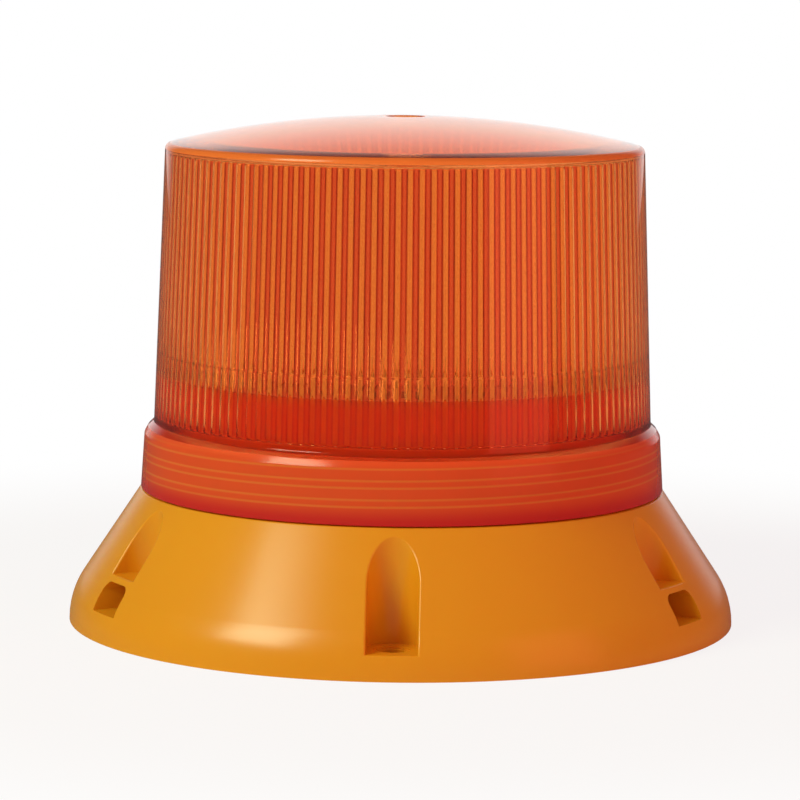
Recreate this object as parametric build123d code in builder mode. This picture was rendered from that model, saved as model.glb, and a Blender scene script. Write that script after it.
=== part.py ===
from build123d import *
from math import acos, atan2, cos, hypot, pi, radians, sin
import os

# Obstruction light: a flared base that bolts down at three points, a low LED
# light engine on its neck, and a fluted amber lens that screws onto the neck.
# Millimetres, +Z up, origin at the centre of the mounting face.

# Base, measured from the bolt circle
bolt_circle_r = 75.0
foot_margin = 9.0
foot_round = 20.4
bolt_room = 7.8
pocket_set_in = 1.2
skirt_ledge = 5.0
skirt_h = 33.3
skirt_wall = 3.0
skirt_round = 0.5

# Neck that carries the lens
neck_h = 12.1
neck_wall = 3.0
shoulder_w = 4.0
spigot_h = 16.9
spigot_wall = 2.5
tray_depth = 3.8
deck_t = 2.5
deck_hole_r = 9.0

# Pockets round the skirt
pocket_count = 6
pocket_w = 12.2
pocket_wall = 2.4
bolt_floor_z = 6.1
bolt_hole_r = 3.0
bolt_seat_r = 4.2
bolt_seat_depth = 0.6
window_floor_z = 7.0
window_h = 7.2
window_corner_r = 2.6
shelf_t = 1.4
web_t = 1.8
web_setback = 2.0
rib_t = 2.2
rib_count = 12

# Gaskets and base plate
gasket_t = 2.5
gasket_clear = 0.4
plate_z = 3.2
plate_t = 3.0
plate_seal_t = 1.0
plate_screw_count = 6
plate_boss_r = 3.6
plate_boss_h = 14.0
plate_boss_lap = 0.6
plate_screw_turn = 15.0
plate_pad_r = 3.0

# Lens collar and ledge
lens_gap = 0.3
thread_room = 1.6
collar_wall = 3.4
collar_draft = 0.9
collar_drop = 0.2
collar_round = 0.4
collar_rim_h = 1.6
collar_rim_w = 0.9
seal_room = 2.0
lip_clear = 1.2
ledge_t = 4.2

# Lens wall, flutes and dome
step_in_h = 1.4
step_in_w = 1.5
wall_h = 69.6
wall_taper = 2.7
lens_rim_round = 2.6
dome_rise = 7.2
dome_wall = 3.0
flute_count = 132
flute_wall = 2.2
flute_depth = 0.7
flute_step_h = 16.4
flute_step = 0.35
flute_end = 3.2
gate_r = 5.0
gate_depth = 0.9
gate_pip_r = 1.3
gate_pip_h = 0.5

# Seal between neck and lens
seal_in_clear = 0.4
seal_out_clear = 0.6
seal_gap = 0.2
seal_round = 0.5

# Light engine
tray_clear = 0.5
spreader_t = 1.6
board_set_in = 2.0
board_t = 1.6
led_count = 12
led_set_in = 9.0
led_side = 3.5
led_t = 0.9
optic_clear = 0.2
optic_wall = 1.7
optic_rim = 0.8
optic_h = 4.2
optic_roof_gap = 0.4
optic_dip = 2.0
engine_screw_count = 4
engine_screw_set_in = 13.0
engine_boss_r = 3.4
engine_boss_h = 5.0

# Driver board and the posts that it hangs from
driver_set_in = 13.0
driver_t = 1.6
driver_post_h = 11.0
driver_post_r = 3.4
driver_post_set_in = 9.6
driver_post_turns = (-13.0, 35.0, 145.0, 193.0)

# Screws
screw_r = 1.5
screw_head_r = 2.8
screw_head_h = 1.9
screw_slot_w = 0.7
screw_slot_depth = 0.8
screw_len = 8.0
screw_fit = 0.05

# Parts on the driver board, in rows behind its straight front edge
can_r = 5.0
can_h = 12.0
can_groove_z = 1.4
can_groove = 0.5
can_count = 3
can_gap = 2.0
can_set_in = 11.0
coil_x = -8.0
coil_row = 23.0
coil_r = 7.0
coil_groove = 1.4
coil_h = 9.0
coil_flange_t = 1.2
chip_x = 6.0
chip_row = 28.0
chip_side = 8.0
chip_t = 1.4
chip_chamfer = 0.3
mos_count = 2
mos_x = 5.0
mos_row = 16.0
mos_gap = 1.5
mos_len = 6.5
mos_w = 6.0
mos_t = 2.3
mos_tab = 1.5
mos_tab_t = 0.6
terminal_ways = 3
terminal_pitch = 6.0
terminal_w = 9.0
terminal_h = 10.0
terminal_mouth = 4.0
terminal_mouth_z = 4.0
terminal_mouth_depth = 6.0
terminal_screw_r = 1.7
terminal_screw_depth = 3.0
terminal_screw_sink = 0.5
pin_pitch = 2.54
pin_columns = 4
pin_rows = 2
pin_side = 0.64
pin_block_t = 2.5
pin_end_room = 0.6
socket_wall = 1.0
socket_h = 8.5
socket_roof = 1.5

# Supply entry, front to back: grommet, clamp, then the driver board's edge
grommet_y = -30.0
grommet_hole_r = 6.5
grommet_flange_r = 9.0
grommet_flange_t = 1.4
cable_r = 3.5
clamp_set_in = 14.0
driver_cut_set_in = 12.0
clamp_w = 7.0
clamp_t = 5.0
clamp_end = 4.5
clamp_post_h = 5.5
clamp_post_r = 3.2
clamp_screw_x = 8.5
clamp_screw_room = 1.5
clamp_saddle_r = 3.4

edge_pick = 0.05

# Radii that follow
base_r = bolt_circle_r + foot_margin
pocket_back_r = bolt_circle_r - bolt_room
skirt_top_r = pocket_back_r - pocket_set_in
neck_r = skirt_top_r - skirt_ledge
tube_in_r = neck_r - neck_wall
spigot_r = neck_r - shoulder_w
tray_r = spigot_r - spigot_wall
collar_bore_r = neck_r + thread_room
collar_foot_r = collar_bore_r + collar_wall
collar_top_r = collar_foot_r - collar_draft
collar_rim_r = collar_top_r - collar_rim_w
lens_foot_r = collar_rim_r - step_in_w
lens_top_r = lens_foot_r - wall_taper
lens_lip_r = spigot_r + lip_clear
spreader_r = tray_r - tray_clear
board_r = spreader_r - board_set_in
led_circle_r = board_r - led_set_in
engine_screw_circle_r = led_circle_r - engine_screw_set_in
driver_r = tube_in_r - driver_set_in

# Heights that follow
plate_top_z = plate_z + plate_t
tube_foot_z = plate_top_z + plate_seal_t
shelf_z = window_floor_z + window_h + shelf_t
shoulder_z = skirt_h + neck_h
spigot_top_z = shoulder_z + spigot_h
deck_z = spigot_top_z - tray_depth
deck_under_z = deck_z - deck_t
board_z = deck_z + spreader_t
board_top_z = board_z + board_t
driver_top_z = deck_under_z - driver_post_h
driver_under_z = driver_top_z - driver_t
collar_foot_z = skirt_h + lens_gap
ledge_under_z = shoulder_z + seal_room
collar_top_z = ledge_under_z - collar_drop
collar_rim_z = collar_top_z + collar_rim_h
lens_foot_z = collar_rim_z + step_in_h
lens_top_z = lens_foot_z + wall_h
flute_foot_z = ledge_under_z + ledge_t
flute_step_z = flute_foot_z + flute_step_h
flute_top_z = lens_top_z - flute_end

# Places on the plate and the driver board that follow
clamp_y = grommet_y + clamp_set_in
driver_cut_y = grommet_y + driver_cut_set_in
clamp_z = plate_top_z + clamp_post_h
clamp_screw_len = clamp_t + clamp_post_h - clamp_screw_room
clamp_post_spots = [(side * clamp_screw_x, clamp_y) for side in (-1, 1)]
can_pitch = 2 * can_r + can_gap
can_y = driver_r - can_set_in
can_spots = [((index - (can_count - 1) / 2) * can_pitch, can_y) for index in range(can_count)]
coil_y = driver_cut_y + coil_row
mos_spots = [(mos_x + index * (mos_len + mos_gap), driver_cut_y + mos_row) for index in range(mos_count)]

os.makedirs("parts", exist_ok=True)


def tangent_turn(round_r):
    """Angle at which the skirt leaves the foot's round, seen from the round's centre."""
    across = skirt_top_r - (base_r - foot_round)
    reach = hypot(across, skirt_h)
    return atan2(skirt_h, across) - acos(round_r / reach)


foot_centre_r = base_r - foot_round
turn = tangent_turn(foot_round)
inner_round = foot_round - skirt_wall


def round_point(radius, angle):
    """A point on the foot's round, as radius and height."""
    return (foot_centre_r + radius * cos(angle), radius * sin(angle))


def skirt_r_at(z):
    """Outer radius of the skirt at a height above the foot's round."""
    foot = round_point(foot_round, turn)
    share = (z - foot[1]) / (skirt_h - foot[1])
    return foot[0] + share * (skirt_top_r - foot[0])


def skirt_gap(spot):
    """How far a point lies outside the skirt's outer face."""
    radius = hypot(spot.X, spot.Y)
    if spot.Z < round_point(foot_round, turn)[1]:
        return hypot(radius - foot_centre_r, spot.Z) - foot_round
    return radius - skirt_r_at(spot.Z)


# The skirt's inner face runs parallel to its outer face, one wall inside it.
inner_top_z = skirt_h - skirt_wall
inner_top_r = skirt_top_r - skirt_wall * cos(turn) + (
    (skirt_h - skirt_wall * sin(turn) - inner_top_z)
    * (round_point(foot_round, turn)[0] - skirt_top_r)
    / (skirt_h - round_point(foot_round, turn)[1])
)
plate_r = neck_r - gasket_clear
pocket_half = pocket_w / 2
pocket_centre_r = pocket_back_r + pocket_half
pocket_len = base_r - pocket_centre_r + pocket_half
pocket_step = 360 / pocket_count
front = -90


def place_at(angle, radius, height=0.0):
    """A plane on a circle, its x axis pointing outwards."""
    spot = (radius * cos(radians(angle)), radius * sin(radians(angle)), height)
    return Plane(origin=spot, x_dir=(spot[0], spot[1], 0), z_dir=(0, 0, 1))


def pocket_angle(index):
    """Direction of a pocket; even ones hold the mounting bolts."""
    return front + index * pocket_step


def in_pocket(spot):
    """Whether a point lies inside a pocket's outline or on it."""
    for index in range(pocket_count):
        angle = radians(pocket_angle(index))
        along = spot.X * cos(angle) + spot.Y * sin(angle) - pocket_centre_r
        across = spot.Y * cos(angle) - spot.X * sin(angle)
        if hypot(min(along, 0), across) < pocket_half + edge_pick:
            return True
    return False


def pan_screw(length):
    """A pan-head screw, its head's seat at the origin and its shank pointing down."""
    with BuildPart() as screw:
        Cylinder(screw_head_r, screw_head_h, align=(Align.CENTER, Align.CENTER, Align.MIN))
        Cylinder(screw_r, length, align=(Align.CENTER, Align.CENTER, Align.MAX))
        with BuildSketch(Plane.XY.offset(screw_head_h)):
            Rectangle(2 * screw_head_r, screw_slot_w)
            Rectangle(screw_slot_w, 2 * screw_head_r)
        extrude(amount=-screw_slot_depth, mode=Mode.SUBTRACT)
    return screw.part


def finish(piece, name):
    """Label a finished piece and write it."""
    piece.part.label = name
    export_step(piece.part, f"parts/{name}.step")


bolt_pockets = range(0, pocket_count, 2)
shelf_pockets = range(1, pocket_count, 2)

# Places that several pieces share
plate_screw_circle_r = tube_in_r - plate_boss_r + plate_boss_lap
plate_screw_spots = PolarLocations(plate_screw_circle_r, plate_screw_count, start_angle=plate_screw_turn)
engine_screw_spots = PolarLocations(engine_screw_circle_r, engine_screw_count)
led_spots = PolarLocations(led_circle_r, led_count, start_angle=180 / led_count)
driver_post_circle_r = driver_r - driver_post_set_in
driver_post_spots = [
    (driver_post_circle_r * cos(radians(turned)), driver_post_circle_r * sin(radians(turned)))
    for turned in driver_post_turns
]
screw_hole_r = screw_r + screw_fit

# Base housing
with BuildPart() as base_housing:
    # Outside of the skirt and neck
    with BuildSketch(Plane.XZ) as outside:
        with BuildLine():
            foot_end = round_point(foot_round, turn)
            foot_mid = round_point(foot_round, turn / 2)
            Line((0, 0), (base_r, 0))
            ThreePointArc((base_r, 0), foot_mid, foot_end)
            Polyline(
                foot_end,
                (skirt_top_r, skirt_h),
                (neck_r, skirt_h),
                (neck_r, shoulder_z),
                (spigot_r, shoulder_z),
                (spigot_r, spigot_top_z),
                (tray_r, spigot_top_z),
                (tray_r, deck_z),
                (0, deck_z),
                (0, 0),
            )
        make_face()
    revolve(axis=Axis.Z)
    # Room between skirt and tube
    with BuildSketch(Plane.XZ) as skirt_room:
        with BuildLine():
            inner_end = round_point(inner_round, turn)
            inner_mid = round_point(inner_round, turn / 2)
            inner_foot = round_point(inner_round, 0)
            ThreePointArc(inner_foot, inner_mid, inner_end)
            Polyline(
                inner_end,
                (inner_top_r, inner_top_z),
                (neck_r, inner_top_z),
                (neck_r, 0),
                inner_foot,
            )
        make_face()
    revolve(axis=Axis.Z, mode=Mode.SUBTRACT)
    # Room for the electronics inside the tube
    with BuildSketch(Plane.XZ) as tube_room:
        with BuildLine():
            Polyline(
                (0, 0),
                (neck_r, 0),
                (neck_r, tube_foot_z),
                (tube_in_r, tube_foot_z),
                (tube_in_r, shoulder_z - neck_wall),
                (tray_r, shoulder_z - neck_wall),
                (tray_r, deck_under_z),
                (0, deck_under_z),
                (0, 0),
            )
        make_face()
    revolve(axis=Axis.Z, mode=Mode.SUBTRACT)
    # Columns round the pockets, and stiffening ribs, inside the skirt
    with BuildSketch(Plane.XY.offset(gasket_t)) as columns:
        for index in range(pocket_count):
            with Locations(place_at(pocket_angle(index), pocket_centre_r)):
                Circle(pocket_half + pocket_wall)
                Rectangle(
                    base_r - pocket_centre_r,
                    pocket_w + 2 * pocket_wall,
                    align=(Align.MIN, Align.CENTER),
                )
        for index in range(rib_count):
            with Locations(place_at(front + (index + 0.5) * 360 / rib_count, neck_r)):
                Rectangle(base_r - neck_r, rib_t, align=(Align.MIN, Align.CENTER))
        Circle(neck_r - neck_wall / 2, mode=Mode.SUBTRACT)
    extrude(amount=inner_top_z - gasket_t)
    # Trim what stands outside the skirt
    with BuildSketch(Plane.XZ) as trim:
        with BuildLine():
            ThreePointArc((base_r, 0), foot_mid, foot_end)
            Polyline(
                foot_end,
                (skirt_top_r, skirt_h),
                (base_r + skirt_wall, skirt_h),
                (base_r + skirt_wall, 0),
                (base_r, 0),
            )
        make_face()
    revolve(axis=Axis.Z, mode=Mode.SUBTRACT)
    # Wells over the bolts, and the shorter wells with a shelf
    for floor_z, chosen in ((bolt_floor_z, bolt_pockets), (shelf_z, shelf_pockets)):
        with BuildSketch(Plane.XY.offset(floor_z)) as wells:
            for index in chosen:
                with Locations(place_at(pocket_angle(index), pocket_centre_r)):
                    Circle(pocket_half)
                    Rectangle(pocket_len, pocket_w, align=(Align.MIN, Align.CENTER))
        extrude(amount=skirt_h, mode=Mode.SUBTRACT)
    # Round the mouths of the wells and the skirt's top edge
    sharp_edges = []
    for edge in base_housing.edges():
        on_skirt = max(abs(skirt_gap(edge @ share)) for share in (0.1, 0.5)) < edge_pick
        if on_skirt and (in_pocket(edge @ 0.5) or (edge @ 0.5).Z > skirt_h - edge_pick):
            sharp_edges.append(edge)
    fillet(sharp_edges, radius=skirt_round)
    # Windows under the shelves, each split by an upright web
    web_out_r = skirt_r_at(shelf_z) - web_setback
    for index in shelf_pockets:
        window_plane = place_at(pocket_angle(index), pocket_back_r, window_floor_z)
        upright = Plane(window_plane.origin, x_dir=window_plane.y_dir, z_dir=window_plane.x_dir)
        with BuildSketch(upright) as window:
            with Locations((0, window_h / 2)):
                RectangleRounded(pocket_w, window_h, window_corner_r)
            with Locations((0, window_h / 4)):
                Rectangle(pocket_w, window_h / 2)
        extrude(amount=base_r - pocket_back_r, mode=Mode.SUBTRACT)
        with BuildSketch(window_plane) as web:
            Rectangle(web_out_r - pocket_back_r, web_t, align=(Align.MIN, Align.CENTER))
        extrude(amount=window_h)
    # Mounting holes with their bolt seats
    with BuildSketch(Plane.XY) as bolt_holes:
        for index in bolt_pockets:
            with Locations(place_at(pocket_angle(index), bolt_circle_r)):
                Circle(bolt_hole_r)
    extrude(amount=bolt_floor_z, mode=Mode.SUBTRACT)
    with BuildSketch(Plane.XY.offset(bolt_floor_z)) as bolt_seats:
        for index in bolt_pockets:
            with Locations(place_at(pocket_angle(index), bolt_circle_r)):
                Circle(bolt_seat_r)
    extrude(amount=-bolt_seat_depth, mode=Mode.SUBTRACT)
    # Bosses under the deck and on the tube's inner wall, then their screw holes
    with BuildSketch(Plane.XY.offset(deck_under_z)):
        with engine_screw_spots:
            Circle(engine_boss_r)
    extrude(amount=-engine_boss_h)
    with BuildSketch(Plane.XY.offset(driver_top_z)):
        with Locations(driver_post_spots):
            Circle(driver_post_r)
    extrude(amount=deck_under_z - driver_top_z)
    with BuildSketch(Plane.XY.offset(tube_foot_z)):
        with plate_screw_spots:
            Circle(plate_boss_r)
    extrude(amount=plate_boss_h)
    with BuildSketch(Plane.XY.offset(deck_z)):
        with engine_screw_spots:
            Circle(screw_hole_r)
    extrude(amount=-screw_len, mode=Mode.SUBTRACT)
    with BuildSketch(Plane.XY.offset(driver_top_z)):
        with Locations(driver_post_spots):
            Circle(screw_hole_r)
    extrude(amount=screw_len, mode=Mode.SUBTRACT)
    with BuildSketch(Plane.XY.offset(tube_foot_z)):
        with plate_screw_spots:
            Circle(screw_hole_r)
    extrude(amount=screw_len, mode=Mode.SUBTRACT)
    # Way through the deck for the pin header
    with BuildSketch(Plane.XY.offset(deck_z)):
        Circle(deck_hole_r)
    extrude(amount=-deck_t, mode=Mode.SUBTRACT)
finish(base_housing, "base_housing")

# Foam ring that seals the skirt to the mounting surface
with BuildPart() as mounting_gasket:
    with BuildSketch():
        Circle(base_r - skirt_wall - gasket_clear)
        Circle(neck_r + gasket_clear, mode=Mode.SUBTRACT)
        for index in bolt_pockets:
            with Locations(place_at(pocket_angle(index), bolt_circle_r)):
                Circle(bolt_hole_r + gasket_clear, mode=Mode.SUBTRACT)
    extrude(amount=gasket_t)
finish(mounting_gasket, "mounting_gasket")

# Plate under the electronics, with pads at its screws and posts for the cable clamp
with BuildPart() as base_plate:
    with BuildSketch(Plane.XY.offset(plate_z)):
        Circle(plate_r)
    extrude(amount=plate_t)
    with BuildSketch(Plane.XY.offset(plate_top_z)):
        with plate_screw_spots:
            Circle(plate_pad_r)
    extrude(amount=plate_seal_t)
    with BuildSketch(Plane.XY.offset(plate_top_z)):
        with Locations(clamp_post_spots):
            Circle(clamp_post_r)
    extrude(amount=clamp_post_h)
    with BuildSketch(Plane.XY.offset(plate_z)):
        with plate_screw_spots:
            Circle(screw_hole_r)
        with Locations((0, grommet_y)):
            Circle(grommet_hole_r)
    extrude(amount=plate_t + plate_seal_t, mode=Mode.SUBTRACT)
    with BuildSketch(Plane.XY.offset(plate_top_z + clamp_post_h)):
        with Locations(clamp_post_spots):
            Circle(screw_hole_r)
    extrude(amount=-clamp_post_h, mode=Mode.SUBTRACT)
finish(base_plate, "base_plate")

# Flat ring between the plate and the tube's foot
with BuildPart() as base_plate_gasket:
    with BuildSketch(Plane.XY.offset(plate_top_z)):
        Circle(plate_r)
        Circle(tube_in_r, mode=Mode.SUBTRACT)
    extrude(amount=plate_seal_t)
finish(base_plate_gasket, "base_plate_gasket")

# Screws that hold the plate, heads down
with BuildPart() as base_plate_screws:
    with plate_screw_spots:
        add(pan_screw(screw_len).rotate(Axis.X, 180).moved(Location((0, 0, plate_z))))
finish(base_plate_screws, "base_plate_screws")

# Rubber inlet for the supply cable
with BuildPart() as cable_grommet:
    with BuildSketch(Plane.XY.offset(plate_z - grommet_flange_t)):
        with Locations((0, grommet_y)):
            Circle(grommet_flange_r)
    extrude(amount=grommet_flange_t)
    with BuildSketch(Plane.XY.offset(plate_z)):
        with Locations((0, grommet_y)):
            Circle(grommet_hole_r - screw_fit)
    extrude(amount=plate_t)
    with BuildSketch(Plane.XY.offset(plate_top_z)):
        with Locations((0, grommet_y)):
            Circle(grommet_flange_r)
    extrude(amount=grommet_flange_t)
    with BuildSketch(Plane.XY.offset(plate_z - grommet_flange_t)):
        with Locations((0, grommet_y)):
            Circle(cable_r)
    extrude(amount=plate_t + 2 * grommet_flange_t, mode=Mode.SUBTRACT)
finish(cable_grommet, "cable_grommet")

# Bar that clamps the supply cable inside the plate
clamp_len = 2 * (clamp_screw_x + clamp_end)
with BuildPart() as cable_clamp:
    with BuildSketch(Plane.XY.offset(clamp_z)):
        with Locations((0, clamp_y)):
            SlotOverall(clamp_len, clamp_w)
        with Locations(clamp_post_spots):
            Circle(screw_hole_r, mode=Mode.SUBTRACT)
    extrude(amount=clamp_t)
    with BuildSketch(Plane.XZ.offset(-clamp_y)):
        with Locations((0, clamp_z)):
            Circle(clamp_saddle_r)
    extrude(amount=clamp_w, both=True, mode=Mode.SUBTRACT)
finish(cable_clamp, "cable_clamp")

with BuildPart() as cable_clamp_screws:
    with Locations([(x, y, clamp_z + clamp_t) for x, y in clamp_post_spots]):
        add(pan_screw(clamp_screw_len))
finish(cable_clamp_screws, "cable_clamp_screws")

# Aluminium disc under the LED board
with BuildPart() as heat_spreader:
    with BuildSketch(Plane.XY.offset(deck_z)):
        Circle(spreader_r)
        Circle(deck_hole_r, mode=Mode.SUBTRACT)
        with engine_screw_spots:
            Circle(screw_hole_r, mode=Mode.SUBTRACT)
    extrude(amount=spreader_t)
finish(heat_spreader, "heat_spreader")

# White LED board
with BuildPart() as led_board:
    with BuildSketch(Plane.XY.offset(board_z)):
        Circle(board_r)
        with engine_screw_spots:
            Circle(screw_hole_r, mode=Mode.SUBTRACT)
    extrude(amount=board_t)
finish(led_board, "led_board")

with BuildPart() as light_engine_screws:
    with engine_screw_spots:
        add(pan_screw(screw_len).moved(Location((0, 0, board_top_z))))
finish(light_engine_screws, "light_engine_screws")

# LEDs round the board
with BuildPart() as led_packages:
    with BuildSketch(Plane.XY.offset(board_top_z)):
        with led_spots:
            Rectangle(led_side, led_side)
    extrude(amount=led_t)
finish(led_packages, "led_packages")

# Clear optic over each LED; its dip throws the light sideways
optic_bore_r = hypot(led_side, led_side) / 2 + optic_clear
optic_r = optic_bore_r + optic_wall
optic_bore_h = led_t + optic_roof_gap
with BuildPart() as optic:
    with BuildSketch(Plane.XZ):
        with BuildLine():
            Polyline(
                (optic_bore_r, 0),
                (optic_r, 0),
                (optic_r - optic_rim, optic_h),
                (0, optic_h - optic_dip),
                (0, optic_bore_h),
                (optic_bore_r, optic_bore_h),
                (optic_bore_r, 0),
            )
        make_face()
    revolve(axis=Axis.Z)
with BuildPart() as led_optics:
    with led_spots:
        add(optic.part.moved(Location((0, 0, board_top_z))))
finish(led_optics, "led_optics")

# Driver board, cut straight at the front to leave room for the cable
with BuildPart() as driver_board:
    with BuildSketch(Plane.XY.offset(driver_under_z)):
        Circle(driver_r)
        with Locations((0, driver_cut_y)):
            Rectangle(2 * driver_r, driver_r, align=(Align.CENTER, Align.MAX), mode=Mode.SUBTRACT)
        with Locations(driver_post_spots):
            Circle(screw_hole_r, mode=Mode.SUBTRACT)
    extrude(amount=driver_t)
finish(driver_board, "driver_board")

with BuildPart() as driver_screws:
    with Locations([(x, y, driver_under_z) for x, y in driver_post_spots]):
        add(pan_screw(screw_len).rotate(Axis.X, 180))
finish(driver_screws, "driver_screws")

# Parts on the underside of the driver board, all hanging down
with BuildPart() as can:
    with BuildSketch(Plane.XZ):
        with BuildLine():
            Polyline(
                (0, 0),
                (can_r, 0),
                (can_r, -can_groove_z),
                (can_r - can_groove, -can_groove_z - can_groove),
                (can_r, -can_groove_z - 2 * can_groove),
                (can_r, -can_h),
                (0, -can_h),
                (0, 0),
            )
        make_face()
    revolve(axis=Axis.Z)
with BuildPart() as smoothing_capacitors:
    with Locations([(x, y, driver_under_z) for x, y in can_spots]):
        add(can.part)
finish(smoothing_capacitors, "smoothing_capacitors")

with BuildPart() as power_inductor:
    with BuildSketch(Plane.XZ.offset(-coil_y)):
        with BuildLine():
            Polyline(
                (coil_x, driver_under_z),
                (coil_x + coil_r, driver_under_z),
                (coil_x + coil_r, driver_under_z - coil_flange_t),
                (coil_x + coil_r - coil_groove, driver_under_z - coil_flange_t),
                (coil_x + coil_r - coil_groove, driver_under_z - coil_h + coil_flange_t),
                (coil_x + coil_r, driver_under_z - coil_h + coil_flange_t),
                (coil_x + coil_r, driver_under_z - coil_h),
                (coil_x, driver_under_z - coil_h),
                (coil_x, driver_under_z),
            )
        make_face()
    revolve(axis=Axis((coil_x, coil_y, 0), (0, 0, 1)))
finish(power_inductor, "power_inductor")

with BuildPart() as controller_chip:
    with BuildSketch(Plane.XY.offset(driver_under_z)):
        with Locations((chip_x, driver_cut_y + chip_row)):
            Rectangle(chip_side, chip_side)
    extrude(amount=-chip_t)
    chamfer(controller_chip.edges().group_by(Axis.Z)[0], length=chip_chamfer)
finish(controller_chip, "controller_chip")

with BuildPart() as switching_transistors:
    with BuildSketch(Plane.XY.offset(driver_under_z)):
        with Locations(mos_spots):
            Rectangle(mos_len, mos_w)
    extrude(amount=-mos_t)
    with BuildSketch(Plane.XY.offset(driver_under_z)):
        with Locations([(x, y + (mos_w + mos_tab) / 2) for x, y in mos_spots]):
            Rectangle(mos_len - mos_tab, mos_tab)
    extrude(amount=-mos_tab_t)
finish(switching_transistors, "switching_transistors")

# Terminal block at the board's straight edge, wire mouths to the front, screws below
terminal_y = driver_cut_y + terminal_w / 2
terminal_xs = [(index - (terminal_ways - 1) / 2) * terminal_pitch for index in range(terminal_ways)]
terminal_under_z = driver_under_z - terminal_h
with BuildPart() as terminal_block:
    with BuildSketch(Plane.XY.offset(driver_under_z)):
        with Locations((0, terminal_y)):
            Rectangle(terminal_ways * terminal_pitch, terminal_w)
    extrude(amount=-terminal_h)
    with BuildSketch(Plane.XZ.offset(-driver_cut_y)):
        with Locations([(x, driver_under_z - terminal_mouth_z) for x in terminal_xs]):
            Rectangle(terminal_mouth, terminal_mouth)
    extrude(amount=-terminal_mouth_depth, mode=Mode.SUBTRACT)
    with BuildSketch(Plane.XY.offset(terminal_under_z)):
        with Locations([(x, terminal_y) for x in terminal_xs]):
            Circle(terminal_screw_r + screw_fit)
    extrude(amount=terminal_screw_depth, mode=Mode.SUBTRACT)
finish(terminal_block, "terminal_block")

with BuildPart() as terminal_screws:
    with BuildSketch(Plane.XY.offset(terminal_under_z + terminal_screw_sink)):
        with Locations([(x, terminal_y) for x in terminal_xs]):
            Circle(terminal_screw_r)
    extrude(amount=terminal_screw_depth - terminal_screw_sink)
    with BuildSketch(Plane.XY.offset(terminal_under_z + terminal_screw_sink)):
        with Locations([(x, terminal_y) for x in terminal_xs]):
            Rectangle(2 * terminal_screw_r, screw_slot_w)
    extrude(amount=screw_slot_depth, mode=Mode.SUBTRACT)
finish(terminal_screws, "terminal_screws")

# Pins from the driver board up through the deck, and the socket they enter
pin_block_z = driver_top_z + pin_block_t
socket_z = board_z - socket_h
socket_bore_h = socket_h - socket_roof
with BuildPart() as stacking_header:
    with BuildSketch(Plane.XY.offset(driver_top_z)):
        Rectangle(pin_columns * pin_pitch, pin_rows * pin_pitch)
    extrude(amount=pin_block_t)
    with BuildSketch(Plane.XY.offset(pin_block_z)):
        with GridLocations(pin_pitch, pin_pitch, pin_columns, pin_rows):
            Rectangle(pin_side, pin_side)
    extrude(amount=socket_z + socket_bore_h - pin_end_room - pin_block_z)
finish(stacking_header, "stacking_header")

with BuildPart() as header_socket:
    with BuildSketch(Plane.XY.offset(board_z)):
        Rectangle(pin_columns * pin_pitch + 2 * socket_wall, pin_rows * pin_pitch + 2 * socket_wall)
    extrude(amount=-socket_h)
    with BuildSketch(Plane.XY.offset(socket_z)):
        Rectangle(pin_columns * pin_pitch, pin_rows * pin_pitch)
    extrude(amount=socket_bore_h, mode=Mode.SUBTRACT)
finish(header_socket, "header_socket")

# Ring seal on the neck's shoulder
with BuildPart() as lens_seal:
    seal_t = seal_room - 2 * seal_gap
    seal_w = shoulder_w - seal_in_clear - seal_out_clear
    with BuildSketch(Plane.XZ):
        with Locations((spigot_r + seal_in_clear + seal_w / 2, (ledge_under_z + shoulder_z) / 2)):
            RectangleRounded(seal_w, seal_t, seal_round)
    revolve(axis=Axis.Z)
finish(lens_seal, "lens_seal")


def lens_wall_r(z):
    """Outer radius of the lens wall at a height."""
    share = (z - lens_foot_z) / (lens_top_z - lens_foot_z)
    return lens_foot_r + share * (lens_top_r - lens_foot_r)


def flute_outline(z, step):
    """Outline of the fluted bore at a height: one round groove after another."""
    valley = lens_wall_r(z) - flute_wall + step
    crest = valley - flute_depth
    half = pi / flute_count
    groove = ((crest, -half), (valley, 0), (crest, half))
    with BuildSketch(Plane.XY.offset(z)) as outline:
        with BuildLine():
            for index in range(flute_count):
                turned = [(radius, angle + 2 * index * half) for radius, angle in groove]
                ThreePointArc(*[(radius * cos(angle), radius * sin(angle)) for radius, angle in turned])
        make_face()
    return outline.sketch


# Lens: collar, ledge, tapered wall and dome in one moulding
dome_top_z = lens_top_z + dome_rise
dome_r = (lens_top_r**2 + dome_rise**2) / (2 * dome_rise)
core_r = lens_wall_r(flute_top_z) - flute_wall - flute_depth
core_inner_r = core_r - lens_rim_round


def dome_z(radius, wall):
    """Height of the dome at a radius, one wall inside its outer face."""
    return dome_top_z - dome_r + ((dome_r - wall) ** 2 - radius**2) ** 0.5


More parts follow.
